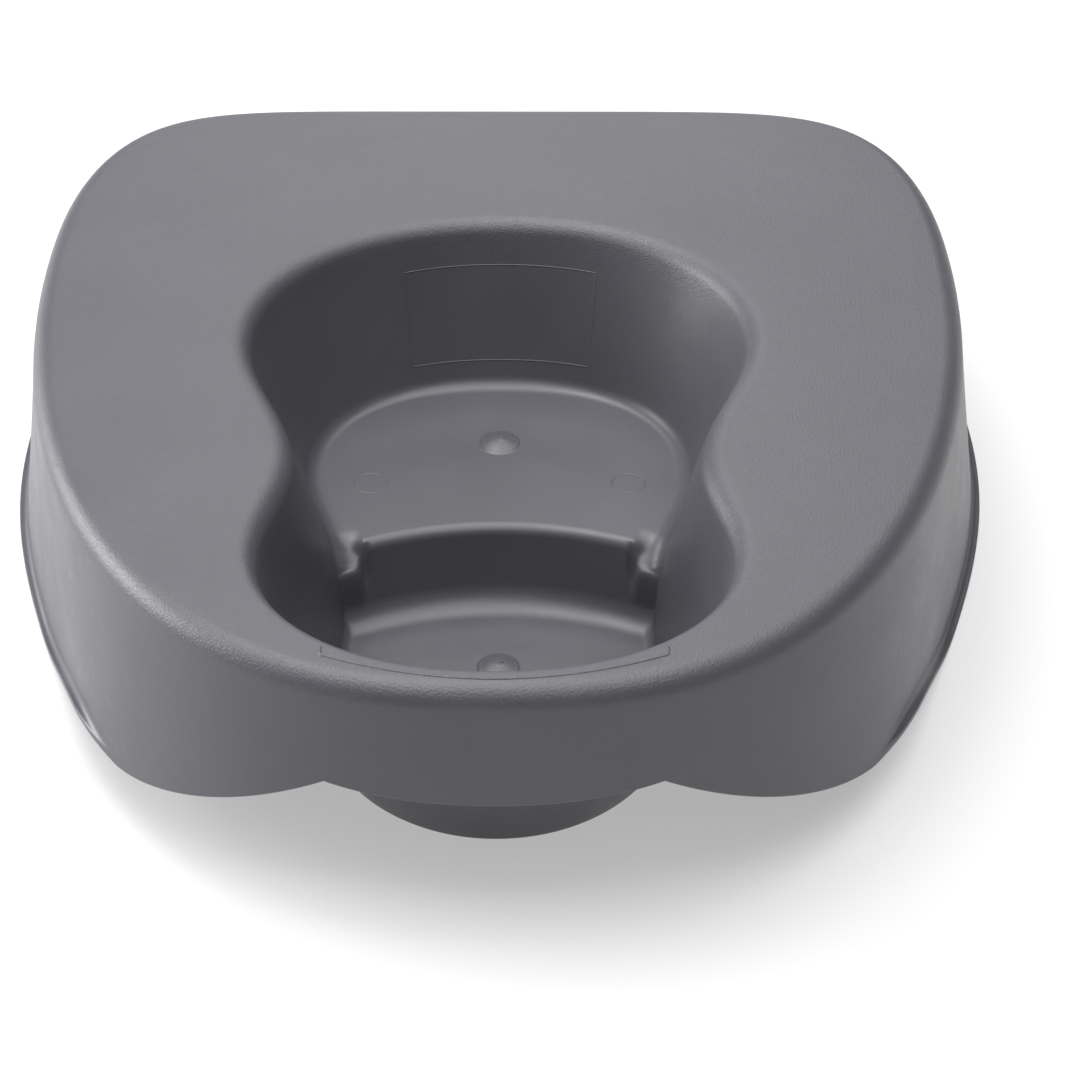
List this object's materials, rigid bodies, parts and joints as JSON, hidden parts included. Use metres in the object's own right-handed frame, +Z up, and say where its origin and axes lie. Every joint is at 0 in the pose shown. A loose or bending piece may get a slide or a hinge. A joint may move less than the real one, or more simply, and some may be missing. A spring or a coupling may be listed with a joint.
{
  "type": "bedpan",
  "caption": "Bedpan: thin moulded shell with a wide flat seat, an hourglass opening, a stepped bowl with a deep front well, and a flared skirt with a foot flange.",
  "frame": {"origin": "centre of the footprint, on the surface the pan stands on", "axes": "+Z up, +Y towards the wide seat end, +X to the right seen from the narrow front end with the well"},
  "size_m": [0.3408, 0.3576, 0.083],
  "materials": {
    "graphite_plastic": "satin, fine moulded grain"
  },
  "bodies": {
    "root": {"bowl_front_wall": "graphite_plastic", "bowl_left_wall": "graphite_plastic", "bowl_rear_wall": "graphite_plastic", "bowl_right_wall": "graphite_plastic", "corner_ledge_left": "graphite_plastic", "corner_ledge_right": "graphite_plastic", "foot_flange_left": "graphite_plastic", "foot_flange_rear": "graphite_plastic", "foot_flange_right": "graphite_plastic", "rear_shelf": "graphite_plastic", "seat_deck_front_rim": "graphite_plastic", "seat_deck_left": "graphite_plastic", "seat_deck_rear": "graphite_plastic", "seat_deck_right": "graphite_plastic", "shelf_gate_dome": "graphite_plastic", "shelf_lip": "graphite_plastic", "skirt_front": "graphite_plastic", "skirt_front_left_lobe": "graphite_plastic", "skirt_front_right_lobe": "graphite_plastic", "skirt_left": "graphite_plastic", "skirt_rear": "graphite_plastic", "skirt_rear_left_corner": "graphite_plastic", "skirt_rear_right_corner": "graphite_plastic", "skirt_right": "graphite_plastic", "step_wall": "graphite_plastic", "well_floor": "graphite_plastic", "well_gate_dome": "graphite_plastic"}
  },
  "joints": []
}
